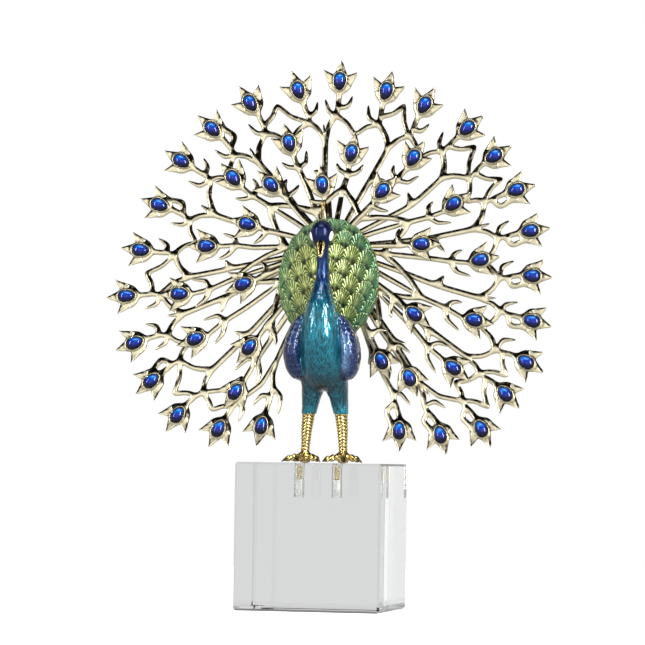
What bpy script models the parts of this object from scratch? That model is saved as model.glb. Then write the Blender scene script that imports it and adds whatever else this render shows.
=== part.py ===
"""Peacock figurine: an enamelled metal bird with a jewelled openwork tail, on a clear crystal cube.

The bird is one casting: head, crest, neck, body, wings, legs, toes and the two pins
that stand in the cube's holes. Behind its back sit a green plate of scale feathers and
three flat tail castings, one behind the other. Each tail casting is a web of antler-like
strands that grows from a hub and ends in three-petalled flowers, and every flower
carries one pear-shaped stone.

Metres, +X to the bird's left, +Y to its back, +Z up. The origin is in the middle of the
cube's underside.
"""

import cmath
from math import cos, degrees, hypot, pi, radians, sin

import bmesh
import bpy
import numpy as np

# Clearance between pieces that touch
GAP = 0.0003

# Crystal cube and its two blind holes
CUBE_SIDE = 0.100
CUBE_CHAMFER = 0.0015
HOLE_DIAMETER = 0.007
HOLE_DEPTH = 0.0235
PIN_DIAMETER = 0.0037
PIN_DEPTH = 0.0115
STANCE = 0.026
LEG_SETBACK = 0.005

# Bird: its forms are shares of its height from the cube to the crown of the head
BIRD_HEIGHT = 0.165
TOE_THICKNESS = 0.0046
CREST_THICKNESS = 0.0014

# Plate of scale feathers
SHIELD_WIDTH = 0.0700
SHIELD_HEIGHT = 0.0860
SHIELD_RISE = 0.1250
SHIELD_RIM = 0.0022
SHIELD_DOME = 0.0026
SHIELD_SETBACK = 0.0118
SCALES_ROUND = 16
SCALE_ROWS = 4
SCALE_STEP = 0.0008

# Tail castings
RING_RISE = 0.1192
HUB_RISE = 0.1430
HUB_RADIUS = 0.0180
FAN_RADIUS = 0.1445
FAN_DISH = 0.0050
FAN_LEAN = 0.07
PLATE = 0.0025
STRAND_WIDTH = 0.0024
TRUNK_WIDTH = 0.0032

# Flowers and stones
FLOWER_HEIGHT = 0.0213
FLOWER_WIDTH = 0.0236
STONE_LENGTH = 0.0120
STONE_WIDTH = 0.0084
STONE_HEIGHT = 0.0040

# Each flower's bearing in degrees, clockwise from the top, its reach as a share of
# FAN_RADIUS, and the degrees that it turns away from the straight line out
OUTER_FLOWERS = [
    (-154.5, 0.724, -13), (-142.3, 0.848, -11), (-130.2, 0.941, -16), (-117.6, 0.962, -14),
    (-105.7, 0.978, -7), (-92.3, 0.989, -3), (-78.9, 0.945, -5), (-64.6, 0.932, -8),
    (-50.4, 0.959, -9), (-37.7, 0.967, -10), (-24.7, 0.979, -10), (-10.5, 0.967, -10),
    (1.4, 0.993, 3), (14.8, 0.977, 2), (26.4, 0.979, 4), (40.1, 1.001, 11),
    (50.8, 1.002, 8), (61.9, 1.004, 13), (73.7, 0.997, 8), (86.0, 0.974, 8),
    (98.4, 0.988, 8), (109.5, 1.012, 10), (119.6, 0.988, 15), (131.1, 0.995, 19),
    (141.0, 0.881, 21), (152.0, 0.757, 26)]
MIDDLE_FLOWERS = [
    (-138.3, 0.661, 0), (-110.7, 0.687, 0), (-92.2, 0.729, 0), (-72.0, 0.635, 0),
    (-42.3, 0.715, 0), (-17.0, 0.729, 0), (7.8, 0.654, 0), (31.9, 0.736, 0),
    (55.3, 0.714, 0), (78.9, 0.737, 0), (101.4, 0.716, 0), (121.2, 0.711, 6),
    (137.7, 0.592, 8)]
INNER_FLOWERS = [
    (-131.2, 0.499, 0), (-97.3, 0.418, 0), (-58.0, 0.476, 0), (-32.4, 0.545, 0),
    (-6.0, 0.426, 0), (30.9, 0.480, 0), (70.4, 0.468, 0), (113.3, 0.453, 0),
    (146.2, 0.476, 0)]

# What fills each space between two outer flowers: A an arch, H two hooks, L a loop and a hook
CROWN_GAPS = "HAALHAHLHLAHHAHAALLLLAALL"
# Spaces where the strands of two outer flowers run together into one trunk
TRUNK_GAPS = (0, 2, 4, 5, 7, 9, 11, 13, 15, 17, 19, 21, 23)

# How far below a flower's reach its strands turn, as shares of FLOWER_HEIGHT
CROTCH_DROP = 0.84
KNEE_DROP = 1.08
ARCH_DROP = 0.28
THORN_DROP = 1.10
JOIN_DROP = 1.60
FORK_DROP = 1.72
# Elbow and tip of a hook: how far it swings out as shares of FLOWER_WIDTH
HOOK_SWING = (0.34, 0.45)

TOP = CUBE_SIDE
RING_CENTRE = TOP + RING_RISE
HUB_CENTRE = TOP + HUB_RISE


def clear_scene():
    for old in list(bpy.data.objects):
        bpy.data.objects.remove(old, do_unlink=True)


def finish(name, colour, roughness, metallic=0.0, transmission=0.0):
    """A plain Principled material with the finish of the real surface."""
    material = bpy.data.materials.new(name)
    material.use_nodes = True
    shader = material.node_tree.nodes["Principled BSDF"]
    shader.inputs["Base Color"].default_value = (*colour, 1.0)
    shader.inputs["Roughness"].default_value = roughness
    shader.inputs["Metallic"].default_value = metallic
    shader.inputs["Transmission Weight"].default_value = transmission
    return material


def add_object(name, bm, material):
    """Turn a bmesh into a named object, shaded smooth up to 35 degrees."""
    mesh = bpy.data.meshes.new(name)
    bm.to_mesh(mesh)
    bm.free()
    mesh.shade_smooth()
    mesh.set_sharp_from_angle(angle=radians(35))
    mesh.materials.append(material)
    thing = bpy.data.objects.new(name, mesh)
    bpy.context.scene.collection.objects.link(thing)
    return thing


def make_tool(thing):
    """Mark an object that only shapes another one."""
    thing.hide_render = True
    thing.display_type = "WIRE"


def combine(target, tools, operation):
    """Join or cut the target with each tool by an exact Boolean."""
    for tool in tools:
        make_tool(tool)
        step = target.modifiers.new(tool.name, "BOOLEAN")
        step.operation = operation
        step.solver = "EXACT"
        step.object = tool


def loft(name, rings, material):
    """Skin a closed body through rings of points, given from one end to the other.

    A ring of one point closes the end to a tip; any other end ring is capped flat.
    """
    bm = bmesh.new()
    rows = [[bm.verts.new(point) for point in ring] for ring in rings]
    for low, high in zip(rows, rows[1:]):
        count = max(len(low), len(high))
        for k in range(count):
            after = (k + 1) % count
            if len(low) == 1:
                bm.faces.new((low[0], high[after], high[k]))
            elif len(high) == 1:
                bm.faces.new((low[k], low[after], high[0]))
            else:
                bm.faces.new((low[k], low[after], high[after], high[k]))
    if len(rows[0]) > 1:
        bm.faces.new(rows[0][::-1])
    if len(rows[-1]) > 1:
        bm.faces.new(rows[-1])
    bmesh.ops.recalc_face_normals(bm, faces=bm.faces)
    return add_object(name, bm, material)


def oval(x, y, z, half_width, half_depth, sides, turn=0.0):
    """A level oval ring round the point (x, y, z)."""
    if half_width == 0:
        return [(x, y, z)]
    steps = [turn + 2 * pi * k / sides for k in range(sides)]
    return [(x + half_width * cos(t), y + half_depth * sin(t), z) for t in steps]


# Crystal cube


def crystal_cube(material):
    """The clear cube, chamfered all round, with a blind hole under each foot."""
    bm = bmesh.new()
    bmesh.ops.create_cube(bm, size=CUBE_SIDE)
    bmesh.ops.translate(bm, verts=bm.verts, vec=(0, 0, CUBE_SIDE / 2))
    bmesh.ops.bevel(bm, geom=bm.edges[:], offset=CUBE_CHAMFER, segments=1, affect="EDGES")
    cube = add_object("crystal_cube", bm, material)
    holes = [upright_rod("hole", side * STANCE / 2, HOLE_DIAMETER, TOP - HOLE_DEPTH, TOP + 2 * CUBE_CHAMFER,
                         16, material) for side in (-1, 1)]
    combine(cube, holes, "DIFFERENCE")
    return cube


def upright_rod(name, x, diameter, low, high, sides, material):
    """A round rod standing over or in one of the cube's holes."""
    radius = diameter / 2
    rings = [oval(x, LEG_SETBACK, z, radius, radius, sides) for z in (low, high)]
    return loft(name, rings, material)


# Bird

# Height, set forward, half width and half depth, as shares of BIRD_HEIGHT
TORSO = [
    (0.270, 0.000, 0.030, 0.030), (0.300, 0.008, 0.062, 0.058), (0.355, 0.024, 0.082, 0.076),
    (0.420, 0.042, 0.084, 0.082), (0.490, 0.057, 0.083, 0.083), (0.550, 0.068, 0.079, 0.078),
    (0.600, 0.080, 0.070, 0.068), (0.650, 0.084, 0.058, 0.056), (0.700, 0.074, 0.0425, 0.044),
    (0.760, 0.058, 0.0285, 0.032), (0.820, 0.058, 0.0247, 0.027), (0.865, 0.068, 0.0275, 0.030),
    (0.890, 0.075, 0.041, 0.044), (0.922, 0.081, 0.0525, 0.054), (0.955, 0.081, 0.049, 0.051),
    (0.985, 0.079, 0.030, 0.032), (1.000, 0.078, 0.0, 0.0)]
TORSO_SIDES = 12

# The same for the beak, which points a little to the bird's left with the head
BEAK = [
    (0.905, 0.105, 0.017, 0.022), (0.880, 0.125, 0.013, 0.014), (0.845, 0.138, 0.008, 0.007),
    (0.822, 0.142, 0.0, 0.0)]
BEAK_SIDES = 6
HEAD_TURN = radians(6)

# Height, distance out from the middle, set forward, half width and half depth
WING = [
    (0.335, 0.100, 0.020, 0.0, 0.0), (0.352, 0.104, 0.022, 0.026, 0.040),
    (0.390, 0.113, 0.032, 0.041, 0.058), (0.450, 0.119, 0.045, 0.042, 0.064),
    (0.510, 0.113, 0.052, 0.041, 0.058), (0.560, 0.098, 0.058, 0.036, 0.048),
    (0.605, 0.079, 0.066, 0.025, 0.034), (0.640, 0.066, 0.074, 0.0, 0.0)]
WING_SIDES = 10

# Height, distance out as a share of the way from the middle to the leg, set forward,
# half width and half depth
LEG = [
    (0.000, 1.02, 0.000, 0.020, 0.020), (0.045, 1.02, 0.000, 0.019, 0.019),
    (0.070, 1.00, 0.000, 0.018, 0.019), (0.135, 0.97, -0.002, 0.021, 0.021),
    (0.198, 0.91, -0.004, 0.028, 0.027), (0.204, 0.91, -0.004, 0.033, 0.034),
    (0.260, 0.75, -0.006, 0.043, 0.046), (0.340, 0.62, -0.008, 0.052, 0.060),
    (0.420, 0.60, -0.010, 0.046, 0.056)]
LEG_SIDES = 8

# Toe bearings in degrees from straight ahead, outwards positive, and lengths as shares of
# BIRD_HEIGHT
TOES = [(62, 0.104), (14, 0.108), (-50, 0.100), (176, 0.064)]
# Way along the toe, height above the cube and half width as shares of TOE_THICKNESS
TOE_SHAPE = [
    (0.0, 1.50, 0.66), (0.34, 0.90, 0.50), (0.62, 0.30, 0.50), (0.82, 0.20, 0.32), (1.0, 0.05, 0.0)]
TOE_SIDES = 5


def bird_point(height, forward, out=0.0):
    """A place on the bird from its shares: height above the cube, forward and out to the side."""
    return out * BIRD_HEIGHT, -forward * BIRD_HEIGHT, TOP + GAP + height * BIRD_HEIGHT


def torso(material):
    rings = []
    for height, forward, half_width, half_depth in TORSO:
        x, y, z = bird_point(height, forward)
        rings.append(oval(x, y, z, half_width * BIRD_HEIGHT, half_depth * BIRD_HEIGHT, TORSO_SIDES))
    return loft("peacock", rings, material)


def wing(side, material):
    rings = []
    for height, out, forward, half_width, half_depth in WING:
        x, y, z = bird_point(height, forward, side * out)
        rings.append(oval(x, y, z, half_width * BIRD_HEIGHT, half_depth * BIRD_HEIGHT, WING_SIDES))
    return loft("wing", rings, material)


def leg(side, material):
    rings = []
    for height, share, forward, half_width, half_depth in LEG:
        z = bird_point(height, 0)[2]
        x = side * share * STANCE / 2
        y = LEG_SETBACK - forward * BIRD_HEIGHT
        rings.append(oval(x, y, z, half_width * BIRD_HEIGHT, half_depth * BIRD_HEIGHT, LEG_SIDES))
    return loft("leg", rings, material)


def toe(side, bearing, length, material):
    """A tapering toe that runs from the ankle down to its claw's point on the cube."""
    turn = radians(bearing)
    ahead = np.array((side * sin(turn), -cos(turn), 0.0))
    across = np.array((cos(turn), side * sin(turn), 0.0))
    ankle = np.array((side * STANCE / 2, LEG_SETBACK, TOP + GAP))
    rings = []
    for way, lift, half in TOE_SHAPE:
        centre = ankle + ahead * way * length * BIRD_HEIGHT
        centre[2] += lift * TOE_THICKNESS / 2 + half * TOE_THICKNESS / 2
        if half == 0:
            rings.append([tuple(centre)])
            continue
        radius = half * TOE_THICKNESS
        floor = TOP + GAP
        ring = []
        for k in range(TOE_SIDES):
            t = pi / 2 + 2 * pi * k / TOE_SIDES
            point = centre + across * radius * cos(t)
            point[2] = max(floor, centre[2] + radius * sin(t))
            ring.append(tuple(point))
        rings.append(ring)
    return loft("toe", rings, material)


def beak(material):
    """A short wedge that points forward and down from the face."""
    rings = []
    for height, forward, half_width, half_depth in BEAK:
        y, z = bird_point(height, forward)[1:]
        x = (forward - TORSO[-1][1]) * BIRD_HEIGHT * sin(HEAD_TURN)
        rings.append(oval(x, y, z, half_width * BIRD_HEIGHT, half_depth * BIRD_HEIGHT, BEAK_SIDES))
    return loft("beak", rings, material)


def crest(material):
    """A thin upright fan of plumes in the middle plane of the head, with a lobed top edge."""
    plumes = 5
    spread = radians(62)
    foot = np.array(bird_point(0.965, 0.078)[1:])
    stem = 0.030 * BIRD_HEIGHT
    lobe = 0.094 * BIRD_HEIGHT
    notch = 0.066 * BIRD_HEIGHT
    outline = []
    for k in range(2 * plumes + 1):
        angle = spread * (k / (2 * plumes) - 0.5)
        reach = lobe if k % 2 else notch
        outline.append(foot + reach * np.array((sin(angle), cos(angle))))
    outline += [foot + stem * np.array((0.25, -0.3)), foot + stem * np.array((-0.25, -0.3))]
    half = CREST_THICKNESS / 2
    rings = [[(x, y, z) for y, z in outline] for x in (-half, half)]
    return loft("crest", rings, material)


def tail_root(material):
    """The stub behind the bird's back that carries the plate of feathers."""
    middle = TOP + SHIELD_RISE - 0.24 * SHIELD_HEIGHT
    half_height = 0.10 * SHIELD_HEIGHT
    half_width = 0.034 * BIRD_HEIGHT
    front = -0.070 * BIRD_HEIGHT
    sides = 8
    rings = [[], []]
    for k in range(sides):
        t = 2 * pi * k / sides
        x = half_width * cos(t)
        z = middle + half_height * sin(t)
        rings[0].append((x, front, z))
        rings[1].append((x, shield_front(x, z) - GAP, z))
    return loft("tail_root", rings, material)


def peacock(enamel):
    bird = torso(enamel)
    parts = [beak(enamel), crest(enamel), tail_root(enamel)]
    for side in (-1, 1):
        parts += [wing(side, enamel), leg(side, enamel)]
        parts += [toe(side, bearing, length, enamel) for bearing, length in TOES]
        parts.append(upright_rod("pin", side * STANCE / 2, PIN_DIAMETER, TOP - PIN_DEPTH,
                                 TOP + TOE_THICKNESS, 10, enamel))
    combine(bird, parts, "UNION")
    return bird


# Plate of scale feathers


def shield_back(z):
    """The plate's back face leans with the tail."""
    return SHIELD_SETBACK + FAN_LEAN * (z - RING_CENTRE)


def shield_front(x, z):
    """The plate's front face bulges forward in the middle."""
    across = hypot(2 * x / SHIELD_WIDTH, 2 * (z - TOP - SHIELD_RISE) / SHIELD_HEIGHT)
    return shield_back(z) - SHIELD_RIM - SHIELD_DOME * (1 - min(1.0, across) ** 2)


def feather_shield(material):
    """An oval plate with rows of overlapping scallops, each row a step behind the one inside it."""
    columns = 2 * SCALES_ROUND

    def ring(share, phase, step, front=True):
        points = []
        for k in range(columns):
            t = 2 * pi * k / columns
            scallop = 1.0 if (k + phase) % 2 else 1.0 - 0.35 / SCALES_ROUND
            x = share * scallop * SHIELD_WIDTH / 2 * sin(t)
            z = TOP + SHIELD_RISE + share * scallop * SHIELD_HEIGHT / 2 * cos(t)
            y = shield_front(x, z) + step if front else shield_back(z)
            points.append((x, y, z))
        return points

    rings = [ring(1.0, 0, 0, front=False)]
    for row in range(SCALE_ROWS, 0, -1):
        share = row / SCALE_ROWS
        rings.append(ring(share, row, 0))
        if row > 1:
            rings.append(ring((row - 1) / SCALE_ROWS + 0.02, row - 1, SCALE_STEP))
    return loft("feather_shield", rings, material)


# Tail castings


def growth_centre(reach):
    """The centre that a reach is measured from: the ring's, sliding up to the hub's near the hub."""
    start = 0.657 * FAN_RADIUS
    way = (start - reach) / (start - HUB_RADIUS)
    return RING_CENTRE + (HUB_CENTRE - RING_CENTRE) * min(1.0, max(0.0, way))


def place(bearing, reach):
    """A place in the plane of the tail, as x + z j, from a bearing in degrees and a reach."""
    turn = radians(bearing)
    return complex(reach * sin(turn), growth_centre(reach) + reach * cos(turn))


def fan_depth(x, z, layer):
    """The middle surface of tail casting 0, 1 or 2, counted from the front."""
    inner = 0.35 * FAN_RADIUS
    out = max(0.0, hypot(x, z - RING_CENTRE) - inner) / (FAN_RADIUS - inner)
    stack = PLATE / 2 + GAP + layer * (PLATE + GAP)
    return shield_back(z) + stack - FAN_DISH * out ** 2


class Openwork:
    """A flat casting drawn as a web of strands between spots.

    Spots and outline points are complex numbers x + z j in the plane of the tail. Where
    strands meet at a spot, neighbouring strands share one corner point, set out a little
    into the fork, so that forks are webbed as in cast metal. A socket is a spot whose two
    corner points already belong to a plate: a flower or the hub.
    """

    def __init__(self, layer):
        self.layer = layer
        self.points = []
        self.spots = []
        self.halves = []
        self.strands = []
        self.sockets = {}
        self.plates = []

    def spot(self, where, half):
        self.spots.append(where)
        self.halves.append(half)
        return len(self.spots) - 1

    def point(self, where):
        self.points.append(where)
        return len(self.points) - 1

    def socket(self, left, right):
        """A spot between two outline points, left and right when one looks out of the plate."""
        middle = (self.points[left] + self.points[right]) / 2
        spot = self.spot(middle, abs(self.points[left] - self.points[right]) / 2)
        self.sockets[spot] = (left, right)
        return spot

    def strand(self, start, end, bow=0.0, steps=1, waist=None):
        """Join two spots by a strand that bows sideways by a share of its length."""
        a, b = self.spots[start], self.spots[end]
        across = (b - a) * 1j * bow
        before = start
        for step in range(1, steps):
            way = step / steps
            half = waist if waist else (1 - way) * self.halves[start] + way * self.halves[end]
            here = self.spot(a + (b - a) * way + across * 4 * way * (1 - way), half)
            self.strands.append((before, here))
            before = here
        self.strands.append((before, end))

    def corners(self):
        """Corner points for each end of each strand, and a plate for each fork."""
        ways = {}
        for number, (a, b) in enumerate(self.strands):
            ways.setdefault(a, []).append((cmath.phase(self.spots[b] - self.spots[a]), number, b))
            ways.setdefault(b, []).append((cmath.phase(self.spots[a] - self.spots[b]), number, a))
        ends = {}
        for spot, fork in ways.items():
            if spot in self.sockets:
                ends[spot, fork[0][1]] = self.sockets[spot]
                continue
            if len(fork) == 1:
                tip = self.point(self.spots[spot])
                ends[spot, fork[0][1]] = (tip, tip)
                continue
            fork.sort()
            shared = []
            for k, (angle, _, other) in enumerate(fork):
                next_angle, _, next_other = fork[(k + 1) % len(fork)]
                opening = (next_angle - angle) % (2 * pi)
                web = 1.3 if opening < 2.4 and len(fork) > 2 else 1.0
                nearest = min(abs(self.spots[o] - self.spots[spot]) for o in (other, next_other))
                away = min(web * self.halves[spot] / max(sin(opening / 2), 0.2), 0.42 * nearest)
                shared.append(self.point(self.spots[spot] + cmath.rect(away, angle + opening / 2)))
            for k, (_, number, _) in enumerate(fork):
                ends[spot, number] = (shared[k], shared[k - 1])
            if len(fork) > 2:
                self.plates.append(shared)
        return ends

    def faces(self):
        """All outlines, counter-clockwise when seen from the front."""
        ends = self.corners()
        faces = [list(plate) for plate in self.plates]
        for number, (a, b) in enumerate(self.strands):
            left_a, right_a = ends[a, number]
            left_b, right_b = ends[b, number]
            face = [right_a, left_b, right_b, left_a]
            faces.append([p for k, p in enumerate(face) if p != face[k - 1]])
        return faces

    def solid(self, name, material):
        """Thicken the outlines to a closed body that follows the tail's surface."""
        faces = self.faces()
        bm = bmesh.new()
        sheets = []
        for offset in (-PLATE / 2, PLATE / 2):
            sheet = []
            for at in self.points:
                depth = fan_depth(at.real, at.imag, self.layer) + offset
                sheet.append(bm.verts.new((at.real, depth, at.imag)))
            sheets.append(sheet)
        front, back = sheets
        edges = {(face[k - 1], face[k]) for face in faces for k in range(len(face))}
        for face in faces:
            bm.faces.new([front[p] for p in face])
            bm.faces.new([back[p] for p in face[::-1]])
        for u, v in sorted(edges):
            if (v, u) not in edges:
                bm.faces.new((front[u], back[u], back[v], front[v]))
        loose = [v for v in bm.verts if not v.link_faces]
        bmesh.ops.delete(bm, geom=loose, context="VERTS")
        wide = [face for face in bm.faces if len(face.verts) > 4]
        bmesh.ops.triangulate(bm, faces=wide, ngon_method="EAR_CLIP")
        return add_object(name, bm, material)


def flower_axes(bearing, reach, turn):
    """A flower's centre and its unit vectors outwards and sideways, as complex numbers."""
    centre = place(bearing, reach)
    outward = centre - place(bearing, 0.97 * reach)
    outward *= cmath.rect(1 / abs(outward), -radians(turn))
    return centre, outward, outward * -1j


def flower(web, bearing, reach, turn, loop=False):
    """Add a three-petalled flower plate and return its sockets for the stem and a loop.

    Its outline is given once for the right half, sideways and outwards from the stone's
    centre, as shares of the flower's width and height.
    """
    half = [(0.055, -0.41), (0.285, -0.225), (0.38, 0.03), (0.49, 0.32), (0.19, 0.17)]
    if loop:
        half.insert(1, (0.19, -0.32))
    tip = (0.0, 0.66)
    centre, outward, sideways = flower_axes(bearing, reach, turn)

    def at(share):
        return web.point(centre + sideways * share[0] * FLOWER_WIDTH + outward * share[1] * FLOWER_HEIGHT)

    right = [at(share) for share in half]
    left = [at((-share[0], share[1])) for share in half]
    web.plates.append(right + [at(tip)] + left[::-1])
    stem = web.socket(right[0], left[0])
    side = web.socket(right[2], right[1]) if loop else None
    return stem, side


def hub(web, bearings):
    """Add the hub plate with a socket towards each bearing, given clockwise."""
    half = 0.5 * TRUNK_WIDTH / HUB_RADIUS
    corners = []
    sockets = []
    for bearing in bearings[::-1]:
        turn = pi / 2 - radians(bearing)
        pair = []
        for angle in (turn - half, turn + half):
            at = complex(HUB_RADIUS * cos(angle), HUB_CENTRE + HUB_RADIUS * sin(angle))
            pair.append(web.point(at))
        corners += pair
        sockets.append(web.socket(pair[1], pair[0]))
    web.plates.append(corners)
    return sockets[::-1]


def grow(web, start, path, end=None, half=STRAND_WIDTH / 2):
    """Run a strand from a spot through (bearing, reach) places, on to a spot or out to a free tip."""
    before = start
    made = []
    for bearing, reach in path:
        here = web.spot(place(bearing, reach), half)
        web.strand(before, here)
        made.append(here)
        before = here
    if end is not None:
        web.strand(before, end)
    return made


def sway(number):
    """A gentle, uneven drift from side to side, in degrees, for the number-th branch."""
    return 1.1 * sin(2.4 * number + 0.7)


def hook(web, start, bearing, reach, side, drops):
    """A hook that swings out to one side of a bearing and turns up to a free tip.

    Drops are how far its elbow and its tip lie below the reach, as shares of the flower's
    height.
    """
    path = []
    for swing, drop in zip(HOOK_SWING, drops):
        path.append((bearing + side * degrees(swing * FLOWER_WIDTH / reach), reach - drop * FLOWER_HEIGHT))
    grow(web, start, path)


class Stem:
    """An outer flower's stem: where it is measured from, and the spots that others join."""

    def __init__(self, web, number, loop):
        bearing, share, turn = OUTER_FLOWERS[number]
        half = STRAND_WIDTH / 2
        self.bearing = bearing
        self.reach = share * FAN_RADIUS
        self.foot = bearing - degrees(0.6 * FLOWER_HEIGHT * sin(radians(turn)) / self.reach)
        top, self.loop = flower(web, bearing, self.reach, turn, loop)
        drift = sway(number)
        crotch = place(self.foot + 0.4 * drift, self.reach - CROTCH_DROP * FLOWER_HEIGHT)
        knee = place(self.foot + 0.9 * drift, self.reach - KNEE_DROP * FLOWER_HEIGHT)
        self.crotch = web.spot(crotch, half)
        self.knee = web.spot(knee, half)
        web.strand(top, self.crotch)
        web.strand(self.crotch, self.knee)


def fill_gap(web, kind, number, before, after):
    """Arch, hooks or loop in the space between two neighbouring stems, either of which may be none."""
    if kind == "A":
        low = min(before.reach, after.reach) - ARCH_DROP * FLOWER_HEIGHT
        middle = (before.bearing + after.bearing) / 2
        apex = web.spot(place(middle + 0.5 * sway(number), low), STRAND_WIDTH / 2)
        web.strand(before.crotch, apex, -0.12, 2)
        web.strand(after.knee, apex, 0.10, 2)
        return
    if before and kind == "L":
        web.strand(before.crotch, before.loop, -0.42, 2)
    elif before:
        hook(web, before.crotch, before.foot, before.reach, 1, (0.80, 0.36))
    if after:
        hook(web, after.knee, after.foot, after.reach, -1, (0.98, 0.50))


def outer_tail():
    """Twenty-six flowers on short stems; their strands fork, arch over and run together in pairs."""
    web = Openwork(2)
    thin = STRAND_WIDTH / 2
    thick = TRUNK_WIDTH / 2
    kinds = "H" + CROWN_GAPS + "L"
    stems = [Stem(web, i, kinds[i + 1] == "L") for i in range(len(OUTER_FLOWERS))]
    for i, (before, after) in enumerate(zip([None] + stems, stems + [None])):
        fill_gap(web, kinds[i], i - 1, before, after)
    trunks = []
    for i, (before, after) in enumerate(zip(stems, stems[1:])):
        middle = (before.bearing + after.bearing) / 2
        low = min(before.reach, after.reach)
        if i in TRUNK_GAPS:
            start = low - FORK_DROP * FLOWER_HEIGHT
            fork = web.spot(place(middle + sway(i), start), thick)
            web.strand(before.knee, fork, 0.10, 2)
            web.strand(after.knee, fork, -0.10, 2)
            trunks.append((fork, middle, start))
            if i and CROWN_GAPS[i] != "A":
                grow(web, fork, [(middle + 0.5 * sway(i), low - THORN_DROP * FLOWER_HEIGHT)])
        elif after is not stems[-1]:
            join = web.spot(place(middle + 0.5 * sway(i), low - JOIN_DROP * FLOWER_HEIGHT), thin)
            web.strand(before.knee, join, 0.12, 2)
            web.strand(after.knee, join, -0.12, 2)
    last = stems[-1]
    trunks.append((last.knee, last.foot, last.reach - KNEE_DROP * FLOWER_HEIGHT))
    roots = hub(web, [bearing for _, bearing, _ in trunks])
    for n, (fork, bearing, start) in enumerate(trunks):
        thorn = 0.72 * start + 0.28 * HUB_RADIUS
        shoulder = 0.64 * start + 0.36 * HUB_RADIUS
        waist = 0.34 * start + 0.66 * HUB_RADIUS
        path = [(bearing + 1.3 * sway(n + 3), shoulder), (bearing + 0.8 * sway(n), waist)]
        made = grow(web, fork, path, roots[n], half=thick)
        side = 1 if n % 2 else -1
        grow(web, made[0], [(bearing + side * 7.0, thorn)])
    return web


def middle_tail():
    """Thirteen flowers, each on a long stem with a hook on either side."""
    web = Openwork(1)
    roots = hub(web, [bearing for bearing, _, _ in MIDDLE_FLOWERS])
    shoulders = []
    for i, (bearing, share, turn) in enumerate(MIDDLE_FLOWERS):
        reach = share * FAN_RADIUS
        stem, _ = flower(web, bearing, reach, turn)
        low = reach - FLOWER_HEIGHT
        crotch = web.spot(place(bearing + 0.6 * sway(i), low), STRAND_WIDTH / 2)
        web.strand(stem, crotch)
        hook(web, crotch, bearing, reach, -1, (0.80, 0.46))
        hook(web, crotch, bearing, reach, 1, (0.84, 0.34))
        path = [(bearing + sway(i + 1), 0.74 * low + 0.26 * HUB_RADIUS),
                (bearing - sway(i), 0.28 * low + 0.72 * HUB_RADIUS)]
        shoulders.append(grow(web, crotch, path, roots[i], half=TRUNK_WIDTH / 2))
    for i, (before, after) in enumerate(zip(shoulders, shoulders[1:])):
        if i % 2:
            web.strand(before[1], after[0], 0.06, 3)
        else:
            web.strand(after[1], before[0], -0.06, 3)
    return web


def inner_tail():
    """Nine flowers close to the plate of feathers, in front of the other two castings."""
    web = Openwork(0)
    thick = TRUNK_WIDTH / 2
    roots = hub(web, [bearing for bearing, _, _ in INNER_FLOWERS])
    for i, (bearing, share, turn) in enumerate(INNER_FLOWERS):
        reach = share * FAN_RADIUS
        stem, _ = flower(web, bearing, reach, turn)
        low = reach - 0.75 * FLOWER_HEIGHT
        crotch = web.spot(place(bearing + sway(i), low), thick)
        web.strand(stem, crotch)
        side = 1 if i % 2 else -1
        grow(web, crotch, [(bearing + side * 8.5, low + 0.04 * FLOWER_HEIGHT),
                           (bearing + side * 13.0, low + 0.26 * FLOWER_HEIGHT)])
        grow(web, crotch, [(bearing, 0.5 * (low + HUB_RADIUS))], roots[i], half=thick)
    return web


def stone(name, layer, bearing, share, turn, material):
    """A pear-shaped domed stone on its flower, with the narrow end towards the stem."""
    sides = 7
    centre, outward, sideways = flower_axes(bearing, share * FAN_RADIUS, turn)
    rings = []
    for size, height in ((1.0, 0.0), (0.74, 0.66), (0.0, 1.0)):
        ring = []
        for k in range(sides if size else 1):
            t = 2 * pi * (k + 0.5) / sides
            along = size * STONE_LENGTH / 2 * cos(t)
            across = size * STONE_WIDTH / 2 * sin(t) * (1 + 0.16 * cos(t))
            at = centre + outward * along + sideways * across
            depth = fan_depth(at.real, at.imag, layer) - PLATE / 2 - GAP - height * STONE_HEIGHT
            ring.append((at.real, depth, at.imag))
        rings.append(ring)
    return loft(name, rings, material)


def main():
    clear_scene()
    crystal = finish("optical_crystal", (0.93, 0.95, 0.95), 0.02, transmission=1.0)
    enamel = finish("blue_green_enamel", (0.012, 0.12, 0.20), 0.18)
    green = finish("green_enamel", (0.16, 0.30, 0.07), 0.22)
    gold = finish("pale_gold_plate", (0.76, 0.66, 0.40), 0.28, metallic=1.0)
    glass = finish("sapphire_glass", (0.01, 0.06, 0.55), 0.05)

    crystal_cube(crystal)
    peacock(enamel)
    feather_shield(green)
    tails = [("inner", 0, inner_tail(), INNER_FLOWERS), ("middle", 1, middle_tail(), MIDDLE_FLOWERS),
             ("outer", 2, outer_tail(), OUTER_FLOWERS)]
    for ring, layer, web, flowers in tails:
        web.solid(ring + "_tail", gold)
        for number, (bearing, share, turn) in enumerate(flowers, 1):
            stone(f"{ring}_stone_{number:02d}", layer, bearing, share, turn, glass)


main()
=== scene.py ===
"""Peacock figurine: the looks of the enamelled bird, its jewelled openwork tail and its crystal cube.

Metres, +X to the bird's left, +Y to its back, +Z up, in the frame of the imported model.
"""

from math import cos, pi, radians, sin

import bmesh
import bpy
import numpy as np
from mathutils import Matrix, Vector


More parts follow.
